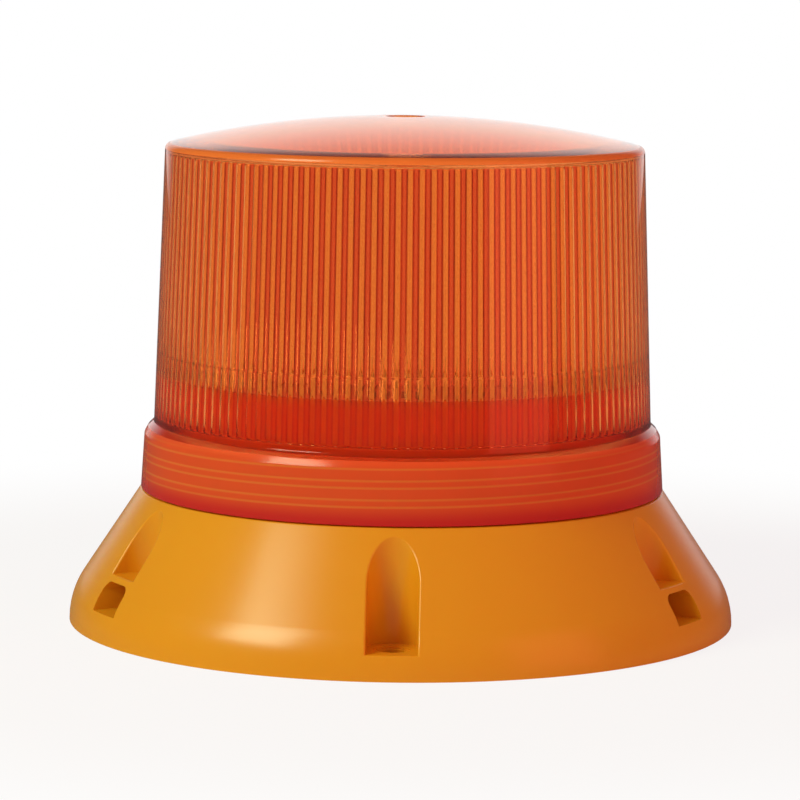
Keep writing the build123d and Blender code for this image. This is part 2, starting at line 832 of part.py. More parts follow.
with BuildPart() as lens:
    with BuildSketch(Plane.XZ):
        with BuildLine():
            Polyline(
                (0, collar_foot_z),
                (collar_foot_r, collar_foot_z),
                (collar_top_r, collar_top_z),
            )
            TangentArc(
                (collar_top_r, collar_top_z),
                (collar_rim_r, collar_rim_z),
                tangent=(collar_top_r - collar_foot_r, collar_top_z - collar_foot_z),
            )
            Polyline((collar_rim_r, collar_rim_z), (lens_foot_r, lens_foot_z), (lens_top_r, lens_top_z))
            ThreePointArc(
                (lens_top_r, lens_top_z),
                (lens_top_r / 2, dome_z(lens_top_r / 2, 0)),
                (0, dome_top_z),
            )
            Line((0, dome_top_z), (0, collar_foot_z))
        make_face()
    revolve(axis=Axis.Z)
    rim = lens.edges().filter_by(GeomType.CIRCLE).sort_by(Axis.Z)
    fillet([edge for edge in rim if abs(edge.center().Z - lens_top_z) < edge_pick], radius=lens_rim_round)
    foot = lens.edges().filter_by(GeomType.CIRCLE).sort_by(Axis.Z)[0]
    fillet(foot, radius=collar_round)
    with BuildSketch(Plane.XZ):
        with BuildLine():
            Polyline(
                (0, collar_foot_z),
                (collar_bore_r, collar_foot_z),
                (collar_bore_r, ledge_under_z),
                (lens_lip_r, ledge_under_z),
                (lens_lip_r, flute_foot_z),
                (core_r, flute_foot_z),
                (core_r, flute_top_z),
            )
            TangentArc(
                (core_r, flute_top_z),
                (core_inner_r, dome_z(core_inner_r, dome_wall)),
                tangent=(0, 1),
            )
            ThreePointArc(
                (core_inner_r, dome_z(core_inner_r, dome_wall)),
                (core_inner_r / 2, dome_z(core_inner_r / 2, dome_wall)),
                (0, dome_top_z - dome_wall),
            )
            Line((0, dome_top_z - dome_wall), (0, collar_foot_z))
        make_face()
    revolve(axis=Axis.Z, mode=Mode.SUBTRACT)
    for low_z, high_z, step in (
        (flute_foot_z, flute_step_z, flute_step),
        (flute_step_z, flute_top_z, 0),
    ):
        loft([flute_outline(low_z, step), flute_outline(high_z, step)], ruled=True, mode=Mode.SUBTRACT)
    # Dimple left by the moulding gate
    with BuildSketch(Plane.XY.offset(dome_top_z)):
        Circle(gate_r)
    extrude(amount=-gate_depth, mode=Mode.SUBTRACT)
    with BuildSketch(Plane.XY.offset(dome_top_z - gate_depth)):
        Circle(gate_pip_r)
    extrude(amount=gate_pip_h)
finish(lens, "lens")
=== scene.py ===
import math

import bpy
from mathutils import Matrix, Vector


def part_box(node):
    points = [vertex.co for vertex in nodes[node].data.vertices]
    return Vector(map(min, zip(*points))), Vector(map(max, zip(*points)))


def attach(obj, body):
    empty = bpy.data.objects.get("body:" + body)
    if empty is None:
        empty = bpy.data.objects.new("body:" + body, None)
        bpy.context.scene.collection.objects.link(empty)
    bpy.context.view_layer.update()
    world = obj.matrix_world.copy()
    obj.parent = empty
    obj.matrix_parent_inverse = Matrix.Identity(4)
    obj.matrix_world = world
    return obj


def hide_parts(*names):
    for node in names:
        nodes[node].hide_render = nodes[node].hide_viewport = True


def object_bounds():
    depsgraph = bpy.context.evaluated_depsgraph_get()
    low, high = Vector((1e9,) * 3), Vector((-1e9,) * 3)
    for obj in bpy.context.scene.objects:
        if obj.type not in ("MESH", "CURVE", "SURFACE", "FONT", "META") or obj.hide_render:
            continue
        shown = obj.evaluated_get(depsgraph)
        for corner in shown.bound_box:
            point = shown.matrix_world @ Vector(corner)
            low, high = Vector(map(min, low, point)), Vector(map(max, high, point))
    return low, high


# Looks of an amber obstruction light, built round its frame. Lengths are in metres.
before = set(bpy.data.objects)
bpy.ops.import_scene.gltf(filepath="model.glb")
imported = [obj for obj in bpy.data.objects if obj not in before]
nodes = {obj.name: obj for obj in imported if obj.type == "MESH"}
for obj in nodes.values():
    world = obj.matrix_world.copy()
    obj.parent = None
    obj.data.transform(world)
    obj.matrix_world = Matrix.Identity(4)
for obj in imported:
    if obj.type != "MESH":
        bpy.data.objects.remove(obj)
cad_low, cad_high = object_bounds()

MM = 0.001


# Shader nodes
def feed(tree, socket, source):
    """Set a socket to a number or a colour, or link another socket to it."""
    if isinstance(source, (int, float)):
        socket.default_value = source
    elif isinstance(source, tuple):
        socket.default_value = (*source, 1)
    else:
        tree.links.new(source, socket)


def math_node(tree, operation, *sources):
    """One sum over sockets or numbers."""
    made = tree.nodes.new("ShaderNodeMath")
    made.operation = operation
    for socket, source in zip(made.inputs, sources):
        feed(tree, socket, source)
    return made.outputs[0]


def between(tree, source, low, high, start=0.0, end=1.0):
    """A smooth step from one value at low to another at high."""
    made = tree.nodes.new("ShaderNodeMapRange")
    made.interpolation_type = "SMOOTHSTEP"
    made.inputs["From Min"].default_value = low
    made.inputs["From Max"].default_value = high
    made.inputs["To Min"].default_value = start
    made.inputs["To Max"].default_value = end
    tree.links.new(source, made.inputs["Value"])
    return made.outputs[0]


def mix_numbers(tree, share, first, second):
    """A number between two numbers or sockets."""
    made = tree.nodes.new("ShaderNodeMix")
    feed(tree, made.inputs[0], share)
    feed(tree, made.inputs[2], first)
    feed(tree, made.inputs[3], second)
    return made.outputs[0]


def blend(tree, share, first, second):
    """A colour between two colours or colour sockets."""
    made = tree.nodes.new("ShaderNodeMix")
    made.data_type = "RGBA"
    feed(tree, made.inputs[0], share)
    feed(tree, made.inputs[6], first)
    feed(tree, made.inputs[7], second)
    return made.outputs[2]


def coordinates(tree, kind="Object"):
    """The three coordinates of a point, each a socket."""
    source = tree.nodes.new("ShaderNodeTexCoord")
    apart = tree.nodes.new("ShaderNodeSeparateXYZ")
    tree.links.new(source.outputs[kind], apart.inputs[0])
    return tuple(apart.outputs)


def distance(tree, x, y):
    """Distance from the upright axis."""
    flat = tree.nodes.new("ShaderNodeCombineXYZ")
    tree.links.new(x, flat.inputs[0])
    tree.links.new(y, flat.inputs[1])
    length = tree.nodes.new("ShaderNodeVectorMath")
    length.operation = "LENGTH"
    tree.links.new(flat.outputs[0], length.inputs[0])
    return length.outputs["Value"]


def ray_is(tree, *kinds):
    """One for rays of any of these kinds, and nought for the rest."""
    path = tree.nodes.new("ShaderNodeLightPath")
    total = path.outputs[kinds[0]]
    for kind in kinds[1:]:
        total = math_node(tree, "MAXIMUM", total, path.outputs[kind])
    return total


def noise(tree, scale, detail=4.0):
    """Noise over the object's own coordinates."""
    source = tree.nodes.new("ShaderNodeTexCoord")
    texture = tree.nodes.new("ShaderNodeTexNoise")
    texture.inputs["Scale"].default_value = scale
    texture.inputs["Detail"].default_value = detail
    tree.links.new(source.outputs["Object"], texture.inputs["Vector"])
    return texture.outputs["Fac"]


def ramp(tree, source, stops):
    """Colour ramp from a factor; stops are (place, colour)."""
    made = tree.nodes.new("ShaderNodeValToRGB")
    made.color_ramp.elements[0].position = stops[0][0]
    made.color_ramp.elements[0].color = (*stops[0][1], 1)
    made.color_ramp.elements[1].position = stops[-1][0]
    made.color_ramp.elements[1].color = (*stops[-1][1], 1)
    for place, colour in stops[1:-1]:
        made.color_ramp.elements.new(place).color = (*colour, 1)
    tree.links.new(source, made.inputs[0])
    return made.outputs[0]


def bump(tree, shader, source, relief, strength):
    """Fine relief from a factor, in metres."""
    made = tree.nodes.new("ShaderNodeBump")
    made.inputs["Distance"].default_value = relief
    made.inputs["Strength"].default_value = strength
    tree.links.new(source, made.inputs["Height"])
    tree.links.new(made.outputs[0], shader.inputs["Normal"])


def principled(name, **values):
    """A material with one main shader, its fixed values set on the shader's own sockets."""
    material = bpy.data.materials.new(name)
    material.use_nodes = True
    shader = material.node_tree.nodes["Principled BSDF"]
    for socket, value in values.items():
        shader.inputs[socket.replace("_", " ")].default_value = value
    return material, shader


# Camera, fitted to the photograph; angles are in radians
CAMERA_REACH = 908.3 * MM
CAMERA_HEIGHT = 172.2 * MM
CAMERA_PITCH = 0.12801
CAMERA_ROLL = 0.00999
CAMERA_AIM = 0.00072
CAMERA_TURN = math.radians(1.4)
CAMERA_LENS = 162.97


def make_camera():
    """The camera looks slightly down at the front pocket."""
    right = Vector((1, 0, 0))
    forward = Vector((0, math.cos(CAMERA_PITCH), -math.sin(CAMERA_PITCH)))
    up = right.cross(forward)
    tilted_right = right * math.cos(CAMERA_ROLL) + up * math.sin(CAMERA_ROLL)
    tilted_up = up * math.cos(CAMERA_ROLL) - right * math.sin(CAMERA_ROLL)
    aimed = Matrix.Rotation(CAMERA_AIM, 3, tilted_up)
    axes = Matrix((aimed @ tilted_right, tilted_up, aimed @ -forward)).transposed()
    turned = Matrix.Rotation(CAMERA_TURN, 3, "Z")
    place = turned @ Vector((0, -CAMERA_REACH, CAMERA_HEIGHT))
    data = bpy.data.cameras.new("camera")
    data.lens = CAMERA_LENS
    camera = bpy.data.objects.new("camera", data)
    camera.matrix_world = Matrix.Translation(place) @ (turned @ axes).to_4x4()
    bpy.context.scene.collection.objects.link(camera)
    bpy.context.scene.camera = camera


# Surroundings: brightness and hue as a lamp, and brightness in mirrors, from front to back
AMBIENT = 0.42
AMBIENT_HUE = (1.0, 0.62, 0.6)
FRONT_GLOSS = 0.06
GLOSS_RISES_AT = 0.78
GLOSS_FULL_AT = 0.985


def make_world():
    """White to the eye and through glass, dark in mirrors that face the front, and a dull warm lamp."""
    world = bpy.data.worlds.new("studio")
    bpy.context.scene.world = world
    world.use_nodes = True
    tree = world.node_tree
    background = tree.nodes["Background"]
    _, backward, _ = coordinates(tree, "Generated")
    mirrored = between(tree, backward, GLOSS_RISES_AT, GLOSS_FULL_AT, FRONT_GLOSS, 1.0)
    lit = mix_numbers(tree, ray_is(tree, "Is Glossy Ray"), AMBIENT, mirrored)
    strength = mix_numbers(tree, ray_is(tree, "Is Camera Ray", "Is Transmission Ray"), lit, 1.0)
    hue = blend(tree, ray_is(tree, "Is Diffuse Ray"), (1, 1, 1), AMBIENT_HUE)
    tree.links.new(strength, background.inputs["Strength"])
    tree.links.new(hue, background.inputs["Color"])


# Floor: its glow hides part of the shadow close by and all of it further out
FLOOR_HALF = 3.0
FLOOR_DROP = 0.02 * MM
FLOOR_PAINT = (0.9, 0.9, 0.9, 1)
FLOOR_ROUGHNESS = 0.8
FLOOR_SHADE = 0.16
FLOOR_GLOSS = 0.08
FLOOR_FADE_NEAR = 0.14
FLOOR_FADE_FAR = 0.30


def floor_material():
    """Pale paint under a white glow that is dimmer in mirrors."""
    material, paint = principled(
        "floor_white",
        Base_Color=FLOOR_PAINT,
        Roughness=FLOOR_ROUGHNESS,
        Specular_IOR_Level=0.0,
    )
    tree = material.node_tree
    x, y, _ = coordinates(tree)
    fade = between(tree, distance(tree, x, y), FLOOR_FADE_NEAR, FLOOR_FADE_FAR, 1 - FLOOR_SHADE, 1.0)
    looked_at = ray_is(tree, "Is Camera Ray", "Is Glossy Ray", "Is Transmission Ray")
    glossy = ray_is(tree, "Is Glossy Ray")
    through = ray_is(tree, "Is Transmission Ray")
    mirrored = math_node(tree, "GREATER_THAN", glossy, through)
    glow = tree.nodes.new("ShaderNodeEmission")
    glow.inputs["Color"].default_value = (1, 1, 1, 1)
    tree.links.new(between(tree, mirrored, 0.0, 1.0, 1.0, FLOOR_GLOSS), glow.inputs["Strength"])
    mixed = tree.nodes.new("ShaderNodeMixShader")
    tree.links.new(math_node(tree, "MULTIPLY", looked_at, fade), mixed.inputs[0])
    tree.links.new(paint.outputs[0], mixed.inputs[1])
    tree.links.new(glow.outputs[0], mixed.inputs[2])
    tree.links.new(mixed.outputs[0], tree.nodes["Material Output"].inputs["Surface"])
    return material


def make_floor():
    """A pale floor that keeps a soft part of the object's shadow."""
    data = bpy.data.meshes.new("floor")
    half = FLOOR_HALF
    corners = [(-half, -half, 0), (half, -half, 0), (half, half, 0), (-half, half, 0)]
    data.from_pydata(corners, [], [(0, 1, 2, 3)])
    data.materials.append(floor_material())
    floor = bpy.data.objects.new("floor", data)
    floor.location.z = cad_low.z - FLOOR_DROP
    bpy.context.scene.collection.objects.link(floor)


# A key from the front left and a weak orange fill: place, aim, size, power in watts and colour
KEY_LAMP = ((-0.74, -0.58, 0.68), (0, 0, 0.05), (0.45, 0.45), 6.5, (0.93, 1.06, 0.72))
FILL_LAMP = ((0.85, -0.6, 0.35), (0, 0, 0.06), (0.6, 0.8), 2.6, (1.0, 0.16, 0.10))


def make_lamp(name, place, aim, size, power, colour):
    """A soft rectangular lamp at a place, aimed at a point."""
    data = bpy.data.lights.new(name, "AREA")
    data.shape = "RECTANGLE"
    data.size, data.size_y = size
    data.energy = power
    data.color = colour
    lamp = bpy.data.objects.new(name, data)
    lamp.location = place
    lamp.rotation_mode = "QUATERNION"
    lamp.rotation_quaternion = (Vector(aim) - Vector(place)).to_track_quat("-Z", "Y")
    bpy.context.scene.collection.objects.link(lamp)


# Lens, as moulded: collar, ledge, fluted wall and dome; a pair is a radius and a height
COLLAR_BORE_R = 62.6 * MM
COLLAR_TOP = (65.1 * MM, 47.2 * MM)
COLLAR_TOP_ROUND = 1.2 * MM
COLLAR_RIM = (64.2 * MM, 48.8 * MM)
COLLAR_RIM_ROUND = 0.6 * MM
LEDGE_Z = 47.4 * MM
LEDGE_ROUND = 0.4 * MM
LIP_R = 58.2 * MM
LIP_TOP_Z = 51.0 * MM
EDGE_ROUND = 0.25 * MM
WALL_FOOT = (62.7 * MM, 50.2 * MM)
WALL_FOOT_ROUND = 0.5 * MM
WALL_TOP = (60.0 * MM, 119.8 * MM)
RIM_ROUND = 1.6 * MM
RIM_STEPS = 6
LENS_SHARP = math.radians(32)

# Flutes inside the wall, which is thinner below a small step
FLUTES = 132
FLUTE_PARTS = 14
FLUTE_WALL = 2.2 * MM
FLUTE_DEPTH = 0.27 * MM
FLUTE_FOOT_Z = 51.6 * MM
FLUTE_FOOT_ROUND = 1.3 * MM
FLUTE_TOP_Z = 117.4 * MM
FLUTE_HEAD_ROUND = 0.7 * MM
FLUTE_END_STEPS = 4
FLUTE_STEP_Z = 68.0 * MM
FLUTE_STEP_H = 0.7 * MM
FLUTE_STEP = 0.35 * MM
FLUTE_STEP_SHARE = 0.75

# Dome, with the shallow gate mark and pip at its crown
DOME_RISE = 7.2 * MM
DOME_WALL = 3.0 * MM
DOME_STEPS_OUTSIDE = 14
DOME_STEPS_INSIDE = 12
DOME_TOP_Z = WALL_TOP[1] + DOME_RISE
DOME_R = (WALL_TOP[0] ** 2 + DOME_RISE**2) / (2 * DOME_RISE)
GATE_R = 5.0 * MM
GATE_DEPTH = 0.9 * MM
GATE_SLOPE = 0.6 * MM
GATE_ROUND = 0.3 * MM
PIP_R = 1.3 * MM
PIP_H = 0.5 * MM
PIP_SLOPE = 0.3 * MM
PIP_ROUND = 0.15 * MM


def wall_r(z):
    """Outer radius of the lens wall at a height."""
    share = (z - WALL_FOOT[1]) / (WALL_TOP[1] - WALL_FOOT[1])
    return WALL_FOOT[0] + share * (WALL_TOP[0] - WALL_FOOT[0])


def dome_z(radius, wall):
    """Height of the dome at a radius, one wall inside its outer face."""
    return DOME_TOP_Z - DOME_R + math.sqrt((DOME_R - wall) ** 2 - radius**2)


def rounded(corners, steps=5):
    """A line through corners, each rounded by its third value; the ends stay as they are."""
    path = [Vector(corners[0][:2])]
    for index in range(1, len(corners) - 1):
        before, corner, after = (Vector(corners[index + k][:2]) for k in (-1, 0, 1))
        size = corners[index][2]
        if size <= 0:
            path.append(corner)
            continue
        back = (before - corner).normalized()
        ahead = (after - corner).normalized()
        half = back.angle(ahead) / 2
        reach = size / math.tan(half)
        centre = corner + (back + ahead).normalized() * (size / math.sin(half))
        start = corner + back * reach
        end = corner + ahead * reach
        sweep = (start - centre).angle_signed(end - centre)
        for k in range(steps + 1):
            turned = Matrix.Rotation(-sweep * k / steps, 2)
            path.append(centre + turned @ (start - centre))
    path.append(Vector(corners[-1][:2]))
    return path


def lens_outside():
    """The lens's line from the crown down its outside, round the collar and up to the lip."""
    low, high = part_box("lens")
    gate_z = DOME_TOP_Z - GATE_DEPTH
    pip_z = gate_z + PIP_H
    corners = [
        (0, pip_z, 0),
        (PIP_R, pip_z, PIP_ROUND),
        (PIP_R + PIP_SLOPE, gate_z, PIP_ROUND),
        (GATE_R - GATE_SLOPE, gate_z, GATE_ROUND),
        (GATE_R, dome_z(GATE_R, 0), GATE_ROUND),
    ]
    for k in range(1, DOME_STEPS_OUTSIDE):
        radius = GATE_R + (WALL_TOP[0] - GATE_R) * k / DOME_STEPS_OUTSIDE
        corners.append((radius, dome_z(radius, 0), 0))
    corners += [
        (*WALL_TOP, RIM_ROUND),
        (*WALL_FOOT, WALL_FOOT_ROUND),
        (*COLLAR_RIM, COLLAR_RIM_ROUND),
        (*COLLAR_TOP, COLLAR_TOP_ROUND),
        (high.x, low.z, EDGE_ROUND),
        (COLLAR_BORE_R, low.z, EDGE_ROUND),
        (COLLAR_BORE_R, LEDGE_Z, LEDGE_ROUND),
        (LIP_R, LEDGE_Z, EDGE_ROUND),
        (LIP_R, LIP_TOP_Z, 0),
    ]
    return [[(spot.x, spot.y)] for spot in rounded(corners)]


def flute_ring(z, step, share):
    """One ring inside the wall; share says how deep the flutes are there."""
    crest = wall_r(z) - FLUTE_WALL + step - FLUTE_DEPTH
    ring = []
    for k in range(FLUTE_PARTS):
        across = 2 * k / FLUTE_PARTS - 1
        wave = 0.5 * (1 + math.cos(across * math.pi))
        ring.append((crest + FLUTE_DEPTH * share * wave, z))
    return ring


def fluted_inside():
    """Rings up the fluted wall, whose flutes run out at foot and head."""
    rings = []
    for k in range(FLUTE_END_STEPS + 1):
        turn = k / FLUTE_END_STEPS * math.pi / 2
        z = FLUTE_FOOT_Z + FLUTE_FOOT_ROUND * (1 - math.cos(turn))
        rings.append(flute_ring(z, FLUTE_STEP, math.sin(turn)))
    rings.append(flute_ring(FLUTE_STEP_Z - FLUTE_STEP_H / 2, FLUTE_STEP, 1))
    rings.append(flute_ring(FLUTE_STEP_Z, FLUTE_STEP / 2, FLUTE_STEP_SHARE))
    rings.append(flute_ring(FLUTE_STEP_Z + FLUTE_STEP_H / 2, 0, 1))
    for k in range(FLUTE_END_STEPS + 1):
        turn = (1 - k / FLUTE_END_STEPS) * math.pi / 2
        z = FLUTE_TOP_Z - FLUTE_HEAD_ROUND * (1 - math.cos(turn))
        rings.append(flute_ring(z, 0, math.sin(turn)))
    return rings


def dome_inside():
    """Rings round the inner corner and up the dome's inner face."""
    corner_r = wall_r(FLUTE_TOP_Z) - FLUTE_WALL - FLUTE_DEPTH - RIM_ROUND
    rise = dome_z(corner_r, DOME_WALL) - FLUTE_TOP_Z
    rings = []
    for k in range(1, RIM_STEPS + 1):
        turn = math.pi / 2 * k / RIM_STEPS
        rings.append([(corner_r + RIM_ROUND * math.cos(turn), FLUTE_TOP_Z + rise * math.sin(turn))])
    for k in range(1, DOME_STEPS_INSIDE):
        radius = corner_r * (1 - k / DOME_STEPS_INSIDE)
        rings.append([(radius, dome_z(radius, DOME_WALL))])
    return rings


def spun(rings, first_z, last_z):
    """Vertices and faces of rings spun about the axis, closed by a point at each end."""
    columns = FLUTES * FLUTE_PARTS
    verts = [(0, 0, first_z)]
    for ring in rings:
        for column in range(columns):
            radius, z = ring[column % len(ring)]
            angle = 2 * math.pi * (column - FLUTE_PARTS / 2) / columns
            verts.append((radius * math.cos(angle), radius * math.sin(angle), z))
    verts.append((0, 0, last_z))
    faces = []
    for column in range(columns):
        following = (column + 1) % columns
        faces.append((0, 1 + column, 1 + following))
        for row in range(len(rings) - 1):
            here = 1 + row * columns
            below = here + columns
            faces.append((here + column, below + column, below + following, here + following))
        end = 1 + (len(rings) - 1) * columns
        faces.append((end + column, len(verts) - 1, end + following))
    return verts, faces


def make_piece(name, verts, faces, sharp, materials):
    """A smooth mesh with its materials."""
    data = bpy.data.meshes.new(name)
    data.from_pydata(verts, [], faces)
    data.validate()
    for polygon in data.polygons:
        polygon.use_smooth = True
    data.set_sharp_from_angle(angle=sharp)
    for material in materials:
        data.materials.append(material)
    piece = bpy.data.objects.new(name, data)
    bpy.context.scene.collection.objects.link(piece)
    return piece


# Where the lens's thicker amber begins: just above the collar, and at the rim's round
COLLAR_MARGIN = 0.7 * MM
RIM_MARGIN = 0.5 * MM


def lens_zone(spots):
    """0 on the clear wall and dome, 1 on the collar and 2 on the rim."""
    if max(spot.z for spot in spots) < COLLAR_RIM[1] + COLLAR_MARGIN:
        return 1
    high = min(spot.z for spot in spots) > WALL_TOP[1] - RIM_ROUND - RIM_MARGIN
    outside = min(math.hypot(spot.x, spot.y) for spot in spots) > WALL_TOP[0] - RIM_ROUND
    return 2 if high and outside else 0


def make_lens(glass, collar, rim):
    """The lens as one closed mesh with its flutes cut into the inner face."""
    crown, *rings = lens_outside() + fluted_inside() + dome_inside()
    verts, faces = spun(rings, crown[0][1], DOME_TOP_Z - DOME_WALL)
    piece = make_piece("lens_moulding", verts, faces, LENS_SHARP, [glass, collar, rim])
    for polygon in piece.data.polygons:
        spots = [piece.data.vertices[index].co for index in polygon.vertices]
        polygon.material_index = lens_zone(spots)
    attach(piece, "lens")
    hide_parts("lens")


# Screw threads of neck and collar, nearly two turns each
THREAD_PITCH = 4.5 * MM
THREAD_TURNS = 1.9
THREAD_STEPS = 180
THREAD_RUN_OUT = 14
THREAD_HEIGHT = 1.25 * MM
THREAD_BURY = 0.15 * MM
THREAD_ROOT_HALF = 0.95 * MM
THREAD_FLANK_HALF = 0.874 * MM
THREAD_FLANK_RISE = 0.15
THREAD_TIP_HALF = 0.45 * MM
THREAD_TIP_RISE = 0.95
THREAD_SHARP = math.radians(50)
NECK_THREAD_R = 61.0 * MM
NECK_THREAD_Z = 35.4 * MM
COLLAR_THREAD_Z = 37.6 * MM


def thread_profile(height):
    """The ridge's section: rise from the root radius, and place along the axis."""
    return [
        (-THREAD_BURY, -THREAD_ROOT_HALF),
        (height * THREAD_FLANK_RISE, -THREAD_FLANK_HALF),
        (height * THREAD_TIP_RISE, -THREAD_TIP_HALF),
        (height * THREAD_TIP_RISE, THREAD_TIP_HALF),
        (height * THREAD_FLANK_RISE, THREAD_FLANK_HALF),
        (-THREAD_BURY, THREAD_ROOT_HALF),
    ]


def make_thread(name, body, root_r, outward, first_z, material):
    """A helical ridge that stands outward or inward from its root radius, its ends run out to nothing."""
    verts = []
    faces = []
    steps = int(THREAD_STEPS * THREAD_TURNS)
    out = 1 if outward else -1
    profile = len(thread_profile(0))
    for step in range(steps + 1):
        share = step / steps
        angle = 2 * math.pi * THREAD_TURNS * share
        fade = min(1.0, share * steps / THREAD_RUN_OUT, (1 - share) * steps / THREAD_RUN_OUT)
        height = THREAD_HEIGHT * math.sin(fade * math.pi / 2)
        z = first_z + THREAD_PITCH * THREAD_TURNS * share
        for rise, along in thread_profile(height):
            radius = root_r + out * rise
            verts.append((radius * math.cos(angle), radius * math.sin(angle), z + along))
    for step in range(steps):
        for k in range(profile):
            a = step * profile + k
            b = step * profile + (k + 1) % profile
            quad = (a, b, b + profile, a + profile)
            faces.append(quad[::-1] if outward else quad)
    first = tuple(range(profile))
    last = tuple(range(steps * profile, (steps + 1) * profile))
    faces.append(first if outward else first[::-1])
    faces.append(last[::-1] if outward else last)
    piece = make_piece(name, verts, faces, THREAD_SHARP, [material])
    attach(piece, body)


# Amber tints, as base colours, with painted light and shade among them: a painted highlight along the
# thread, painted shade at the hem, and painted light and shade on the flutes
AMBER_IOR = 1.5
AMBER_OUTER = (1.0, 0.29, 0.07)
AMBER_COLLAR = (1.0, 0.14, 0.035)
AMBER_THREAD_HIGHLIGHT = (1.0, 0.40, 0.06)
AMBER_HEM_SHADE = (0.80, 0.035, 0.03)
AMBER_RIM = (1.0, 0.24, 0.04)
# Painted light, dim light and shade across the flutes, and painted shade low on the fluted wall
FLUTE_PAINTED_LIGHT = (1.0, 1.0, 0.5)
FLUTE_PAINTED_DIM = (0.70, 0.14, 0.19)
FLUTE_PAINTED_SHADE = (0.26, 0.007, 0.004)
FLUTE_LOW_SHADE = (1.0, 0.040, 0.08)

# Painted light and shade across a flute, from the land between two flutes (0) to the hollow of one (1):
# painted dim light on the land, painted shade on the flanks, painted light in the hollow
FLUTE_PAINTED_STOPS = [
    (0.0, FLUTE_PAINTED_DIM),
    (0.10, FLUTE_PAINTED_DIM),
    (0.24, FLUTE_PAINTED_SHADE),
    (0.56, FLUTE_PAINTED_SHADE),
    (0.76, FLUTE_PAINTED_LIGHT),
    (1.0, FLUTE_PAINTED_LIGHT),
]
# Painted shade low on the fluted wall: where it begins, where it is full, and its strength
FLUTE_LOW_FROM = 64.5 * MM
FLUTE_LOW_FULL = 60.0 * MM
FLUTE_LOW_SHARE = 0.72

# Depth under the outer face at which a face counts as inner, and where the painted stripes end
INNER_FROM = 1.0 * MM
INNER_FULL = 1.2 * MM
STRIPES_FOOT = (FLUTE_FOOT_Z, FLUTE_FOOT_Z + 0.5 * MM)
STRIPES_HEAD = (FLUTE_TOP_Z + 0.2 * MM, FLUTE_TOP_Z - 0.3 * MM)


def fluted_inner_face(tree, x, y, z):
    """One on the fluted part of the lens's inner face, and nought on its other faces."""
    slope = (WALL_TOP[0] - WALL_FOOT[0]) / (WALL_TOP[1] - WALL_FOOT[1])
    outer = math_node(tree, "MULTIPLY_ADD", z, slope, WALL_FOOT[0] - slope * WALL_FOOT[1])
    depth = math_node(tree, "SUBTRACT", outer, distance(tree, x, y))
    inner = between(tree, depth, INNER_FROM, INNER_FULL)
    above = between(tree, z, *STRIPES_FOOT)
    below = between(tree, z, *STRIPES_HEAD)
    return math_node(tree, "MULTIPLY", inner, math_node(tree, "MULTIPLY", above, below))


def amber_glass():
    """Clear amber; on the flutes painted light and shade: bright in the hollows, dark on the flanks, dim
    between, with redder painted shade low on the wall.
    """
    material, shader = principled(
        "amber_lens",
        Roughness=0.04,
        IOR=AMBER_IOR,
        Specular_IOR_Level=0.22,
        Transmission_Weight=0.98,
    )
    tree = material.node_tree
    x, y, z = coordinates(tree)
    phase = math_node(tree, "MULTIPLY", math_node(tree, "ARCTAN2", y, x), FLUTES)
    wave = math_node(tree, "MULTIPLY_ADD", math_node(tree, "COSINE", phase), 0.5, 0.5)
    # Painted light and shade across each flute, not a colour of the amber
    painted_stripes = ramp(tree, wave, FLUTE_PAINTED_STOPS)
    # Painted shade: the flutes turn redder and darker low on the wall
    lower = between(tree, z, FLUTE_LOW_FROM, FLUTE_LOW_FULL)
    redder = math_node(tree, "MULTIPLY", lower, FLUTE_LOW_SHARE)
    painted_stripes = blend(tree, redder, painted_stripes, FLUTE_LOW_SHADE)
    tint = blend(tree, fluted_inner_face(tree, x, y, z), AMBER_OUTER, painted_stripes)
    tree.links.new(tint, shader.inputs["Base Color"])
    return material


# Share of light that passes through the thicker amber
COLLAR_CLEAR = 0.42
RIM_CLEAR = 0.35

# Painted highlight lines along the thread's edges: their place on its wave, half their width, strength
# and start
LINE_PLACE = 0.35
LINE_HALF = 0.55
LINE_SHARE = 0.55
LINE_START = 0.6
LINES_FOOT = (36 * MM, 38 * MM)
LINES_HEAD = (48.5 * MM, 47 * MM)
# Where the painted shade at the hem fades out, and where the rim's tint comes in
HEM_FADE = (34 * MM, 39 * MM)
RIM_FADE = (60 * MM, 100 * MM)


def thread_highlight_lines(tree, x, y, z):
    """Share of the painted highlight: paler lines that wind up the collar at the thread's pitch."""
    turn = math_node(tree, "ARCTAN2", y, x)
    lead = math_node(tree, "MULTIPLY", z, 2 * math.pi / THREAD_PITCH)
    along = math_node(tree, "SUBTRACT", lead, turn)
    ridge = math_node(tree, "COSINE", math_node(tree, "ADD", along, LINE_START))
    edges = math_node(tree, "ABSOLUTE", math_node(tree, "SUBTRACT", ridge, LINE_PLACE))
    line = math_node(tree, "MULTIPLY", between(tree, edges, LINE_HALF, 0.0), LINE_SHARE)
    above = between(tree, z, *LINES_FOOT)
    below = between(tree, z, *LINES_HEAD)
    return math_node(tree, "MULTIPLY", line, math_node(tree, "MULTIPLY", above, below))


def amber_thick(name, clear):
    """Amber that glows more and shows less through: redder at the hem as painted shade, paler along the
    thread as a painted highlight.
    """
    material, shader = principled(
        name,
        Roughness=0.17,
        IOR=AMBER_IOR,
        Specular_IOR_Level=0.25,
        Transmission_Weight=clear,
    )
    tree = material.node_tree
    x, y, z = coordinates(tree)
    # Painted shade: darker red towards the collar's foot
    collar = blend(tree, between(tree, z, *HEM_FADE), AMBER_HEM_SHADE, AMBER_COLLAR)
    # Painted highlight: paler lines along the thread
    threaded = blend(tree, thread_highlight_lines(tree, x, y, z), collar, AMBER_THREAD_HIGHLIGHT)
    tint = blend(tree, between(tree, z, *RIM_FADE), threaded, AMBER_RIM)
    tree.links.new(tint, shader.inputs["Base Color"])
    return material


